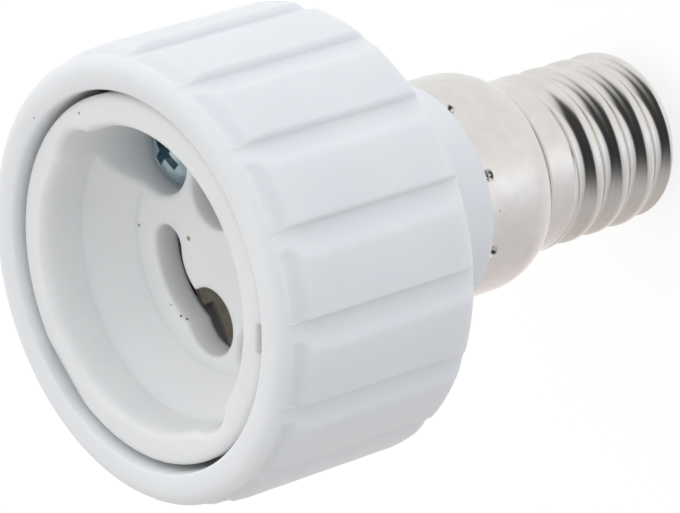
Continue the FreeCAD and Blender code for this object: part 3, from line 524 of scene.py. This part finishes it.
dress(housing, white_housing)
dress(shell, nickel)
dress(shell_joint, solder)
NODE_MATERIALS = {
    "socket_insert": white_insert,
    "insert_cover": cover_board,
    "contact_live": bronze,
    "contact_neutral": bronze,
    "backing_spring_live": spring,
    "backing_spring_neutral": spring,
    "rivet_live": brass,
    "rivet_neutral": brass,
    "insert_screw_a": zinc,
    "insert_screw_b": zinc,
    "cap_insulator": black_glass,
    "centre_contact": tinned,
    "live_conductor": copper,
    "neutral_conductor": copper,
    "live_sleeve": brown_sleeve,
    "neutral_sleeve": blue_sleeve,
    "solder_live_tail": solder,
    "solder_neutral_tail": solder,
    "solder_tip": solder,
}
for name, material in NODE_MATERIALS.items():
    dress(nodes[name], material)


# Floor, light and camera, in metres

FLOOR_SIDE, FLOOR_HEIGHT, FLOOR_TONE, FLOOR_ROUGH = 1.2, -0.0002, (0.85, 0.85, 0.85, 1), 0.9
# The floor glows white to the eye, and the rest of its tone keeps the object's shadow
FLOOR_GLOW, FLOOR_SHARE = 1.15, 0.7
WHITE = (1, 1, 1, 1)
# Light of the tent in red, green and blue: its mean, and how it grows towards PHOTO_UP, PHOTO_RIGHT and PHOTO_BACK
TENT = (
    (0.895, 0.340, -0.042, -0.077),
    (0.888, 0.357, -0.034, -0.038),
    (0.898, 0.383, -0.015, -0.019),
)
# The brightest that a reflection of the tent gets
GLOSS_LIMIT = 0.93
# Gap in the tent on the camera's side, and a soft bright patch beside it, both seen only in reflections
GAP_ACROSS, GAP_ALONG, GAP_DEPTH = 0.56, 0.82, 0.95
GAP_SIDE_POWER, GAP_END_POWER = 6.0, 8.0
PATCH_TOWARD, PATCH_FALL, PATCH_GAIN = Vector((0.772, 0.106, -0.625)), 30.0, 0.22

BOX_TOWARD, BOX_DISTANCE, BOX_SIDE, BOX_POWER = PHOTO_UP + Vector((0.35, 0.0, 0.45)), 0.4, 0.3, 0.03
BOX_TARGET = Vector((0, 0, 0.03))
CAMERA_PLACE, CAMERA_NEAR, CAMERA_FAR = (0.18028, 0.07831, 0.19071), 0.01, 10.0
# Focal length and sensor width in millimetres
CAMERA_LENS, CAMERA_SENSOR = 180.0, 36.0


def ray_is(tree, *kinds):
    """1 for a ray of one of the kinds, and else 0."""
    path = tree.nodes.new("ShaderNodeLightPath")
    seen = path.outputs[kinds[0]]
    for kind in kinds[1:]:
        seen = math_node(tree, "MAXIMUM", seen, path.outputs[kind])
    return seen


def make_floor():
    side, low = FLOOR_SIDE, FLOOR_HEIGHT
    corners = [(-side, -side, low), (side, -side, low), (side, side, low), (-side, side, low)]
    mesh = bpy.data.meshes.new("floor")
    mesh.from_pydata(corners, [], [(0, 1, 2, 3)])
    floor = bpy.data.objects.new("floor", mesh)
    bpy.context.scene.collection.objects.link(floor)
    floor.visible_diffuse = False
    floor.visible_glossy = False
    material, tree, shader = new_material("pale_floor")
    shader.inputs["Base Color"].default_value = FLOOR_TONE
    shader.inputs["Roughness"].default_value = FLOOR_ROUGH
    glow = tree.nodes.new("ShaderNodeEmission")
    glow.inputs["Color"].default_value = WHITE
    glow.inputs["Strength"].default_value = FLOOR_GLOW
    seen = ray_is(tree, "Is Camera Ray", "Is Glossy Ray", "Is Transmission Ray")
    mix = tree.nodes.new("ShaderNodeMixShader")
    tree.links.new(math_node(tree, "MULTIPLY", seen, FLOOR_SHARE), mix.inputs["Fac"])
    tree.links.new(shader.outputs["BSDF"], mix.inputs[1])
    tree.links.new(glow.outputs["Emission"], mix.inputs[2])
    tree.links.new(mix.outputs["Shader"], tree.nodes["Material Output"].inputs["Surface"])
    mesh.materials.append(material)


def tent_colour(tree, toward, glossy):
    """Colour of the tent in each direction, limited for reflections."""
    limit = math_node(tree, "SUBTRACT", 1.0 + GLOSS_LIMIT, glossy)
    colour = tree.nodes.new("ShaderNodeCombineColor")
    for channel, (mean, up, right, back) in enumerate(TENT):
        slope = with_fixed(tree, "DOT_PRODUCT", toward, PHOTO_UP * up + PHOTO_RIGHT * right + PHOTO_BACK * back)
        level = math_node(tree, "MINIMUM", math_node(tree, "ADD", slope, mean), limit)
        tree.links.new(level, colour.inputs[channel])
    return colour.outputs["Color"]


def gap_edge(tree, toward, direction, reach, power):
    """Grows from 0 through 1 as a direction passes the gap's reach."""
    offset = math_node(tree, "DIVIDE", with_fixed(tree, "DOT_PRODUCT", toward, direction), reach)
    return math_node(tree, "POWER", math_node(tree, "ABSOLUTE", offset), power)


def tent_gap(tree, toward):
    """What the gap takes from the tent's light, as a negative share."""
    beyond = math_node(tree, "ADD", gap_edge(tree, toward, PHOTO_RIGHT, GAP_ACROSS, GAP_SIDE_POWER),
                       gap_edge(tree, toward, PHOTO_UP, GAP_ALONG, GAP_END_POWER))
    gap = math_node(tree, "EXPONENT", math_node(tree, "MULTIPLY", beyond, -1.0))
    facing = math_node(tree, "GREATER_THAN", with_fixed(tree, "DOT_PRODUCT", toward, PHOTO_BACK), 0.0)
    return math_node(tree, "MULTIPLY", math_node(tree, "MULTIPLY", gap, facing), -GAP_DEPTH)


def tent_patch(tree, toward):
    """What the bright patch adds to the tent's light, as a share."""
    turned = with_fixed(tree, "DOT_PRODUCT", toward, PATCH_TOWARD.normalized())
    away = math_node(tree, "SUBTRACT", turned, 1.0)
    patch = math_node(tree, "EXPONENT", math_node(tree, "MULTIPLY", away, PATCH_FALL))
    return math_node(tree, "MULTIPLY", patch, PATCH_GAIN)


def make_world():
    """Even tent of light with a gap and a patch in it, fixed in the object's frame, and white to the eye."""
    world = bpy.data.worlds.new("light_tent")
    world.use_nodes = True
    tree = world.node_tree
    toward = tree.nodes.new("ShaderNodeTexCoord").outputs["Generated"]
    glossy = ray_is(tree, "Is Glossy Ray")
    change = math_node(tree, "ADD", math_node(tree, "MULTIPLY", tent_gap(tree, toward), glossy),
                       math_node(tree, "MULTIPLY", tent_patch(tree, toward), glossy))
    light = tree.nodes.new("ShaderNodeVectorMath")
    light.operation = "SCALE"
    tree.links.new(tent_colour(tree, toward, glossy), light.inputs[0])
    tree.links.new(math_node(tree, "ADD", change, 1.0), light.inputs["Scale"])
    seen = ray_is(tree, "Is Camera Ray", "Is Transmission Ray")
    colour = blend(tree, seen, light.outputs["Vector"], WHITE[:3])
    tree.links.new(colour, tree.nodes["Background"].inputs["Color"])
    bpy.context.scene.world = world


def make_soft_box():
    """Square soft box above the object."""
    light = bpy.data.lights.new("top_softbox", "AREA")
    light.shape = "SQUARE"
    light.size = BOX_SIDE
    light.energy = BOX_POWER
    lamp = bpy.data.objects.new("top_softbox", light)
    lamp.location = BOX_TARGET + BOX_TOWARD.normalized() * BOX_DISTANCE
    lamp.rotation_mode = "QUATERNION"
    lamp.rotation_quaternion = (BOX_TARGET - lamp.location).to_track_quat("-Z", "Y")
    lamp.visible_glossy = False
    lamp.visible_camera = False
    bpy.context.scene.collection.objects.link(lamp)


def make_camera():
    camera = bpy.data.cameras.new("photo_camera")
    camera.sensor_width = CAMERA_SENSOR
    camera.lens = CAMERA_LENS
    camera.clip_start = CAMERA_NEAR
    camera.clip_end = CAMERA_FAR
    holder = bpy.data.objects.new("photo_camera", camera)
    right, back = PHOTO_RIGHT.normalized(), PHOTO_BACK.normalized()
    up = back.cross(right).normalized()
    right = up.cross(back)
    turn = Matrix((right, up, back)).transposed().to_4x4()
    holder.matrix_world = Matrix.Translation(CAMERA_PLACE) @ turn
    bpy.context.scene.collection.objects.link(holder)
    bpy.context.scene.camera = holder


make_floor()
make_world()
make_soft_box()
make_camera()
bpy.context.scene.view_settings.view_transform = "Standard"
